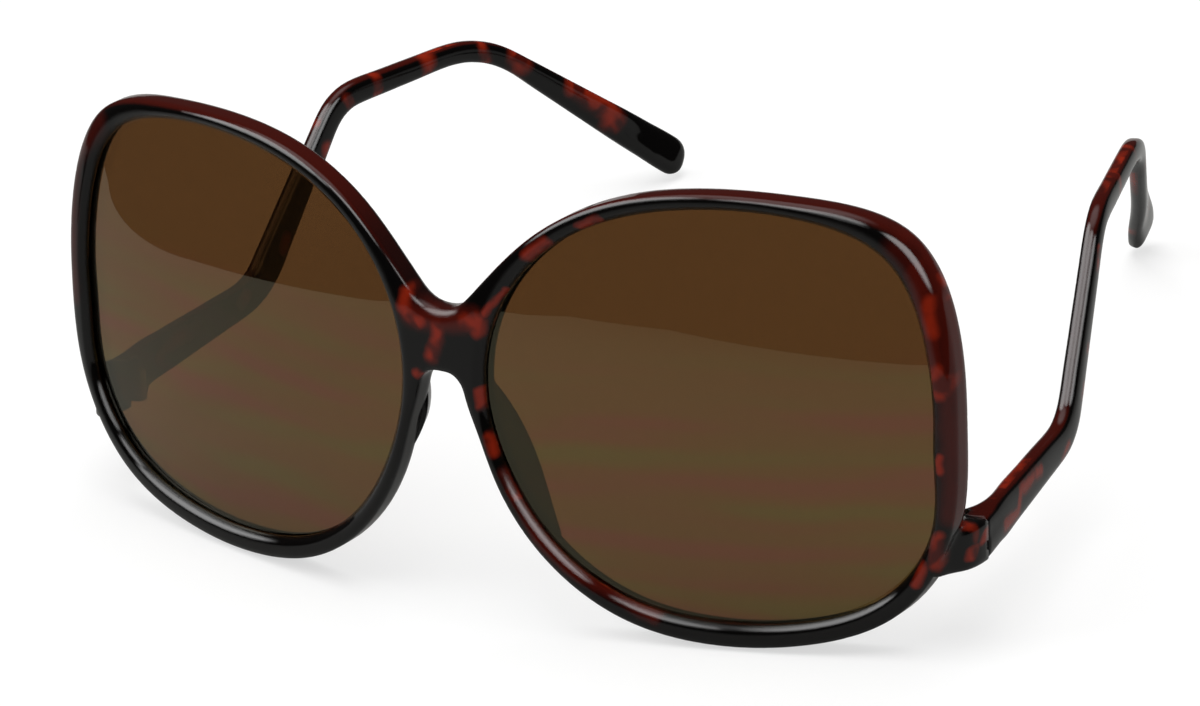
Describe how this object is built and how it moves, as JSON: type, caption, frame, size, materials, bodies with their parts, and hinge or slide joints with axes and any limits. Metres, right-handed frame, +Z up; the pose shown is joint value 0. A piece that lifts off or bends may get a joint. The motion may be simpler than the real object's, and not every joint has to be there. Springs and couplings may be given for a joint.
{
  "type": "oversized sunglasses",
  "caption": "Oversized square sunglasses with dark tinted lenses in a mottled plastic front and low set dropped temples that fold in on screw hinges.",
  "frame": {"origin": "centre of the bounding box in plan, on the surface that the glasses rest on", "axes": "+X to the wearer's left, +Y back along the temples, +Z up; the lenses face -Y"},
  "size_m": [0.1442, 0.1282, 0.0635],
  "materials": {
    "tortoise_frame": "polished, near black with translucent red brown patches",
    "tinted_lens": "polished brown tint, slightly see-through",
    "hinge_metal": "bright plated metal"
  },
  "bodies": {
    "front": {"front_frame": "tortoise_frame", "left_lens": "tinted_lens", "right_lens": "tinted_lens", "left_front_hinge": "hinge_metal", "right_front_hinge": "hinge_metal", "left_hinge_screw": "hinge_metal", "right_hinge_screw": "hinge_metal"},
    "left_temple_arm": {"left_temple": "tortoise_frame", "left_temple_hinge": "hinge_metal"},
    "right_temple_arm": {"right_temple": "tortoise_frame", "right_temple_hinge": "hinge_metal"}
  },
  "joints": [
    {"name": "left_temple_fold", "type": "hinge", "parent": "front", "child": "left_temple_arm", "pos_m": [0.06688, -0.04287, 0.01351], "axis": [0, 0.1685, 0.9857], "range_deg": [0, 80]},
    {"name": "right_temple_fold", "type": "hinge", "parent": "front", "child": "right_temple_arm", "pos_m": [-0.06688, -0.04287, 0.01351], "axis": [0, -0.1685, -0.9857], "range_deg": [0, 68]}
  ]
}
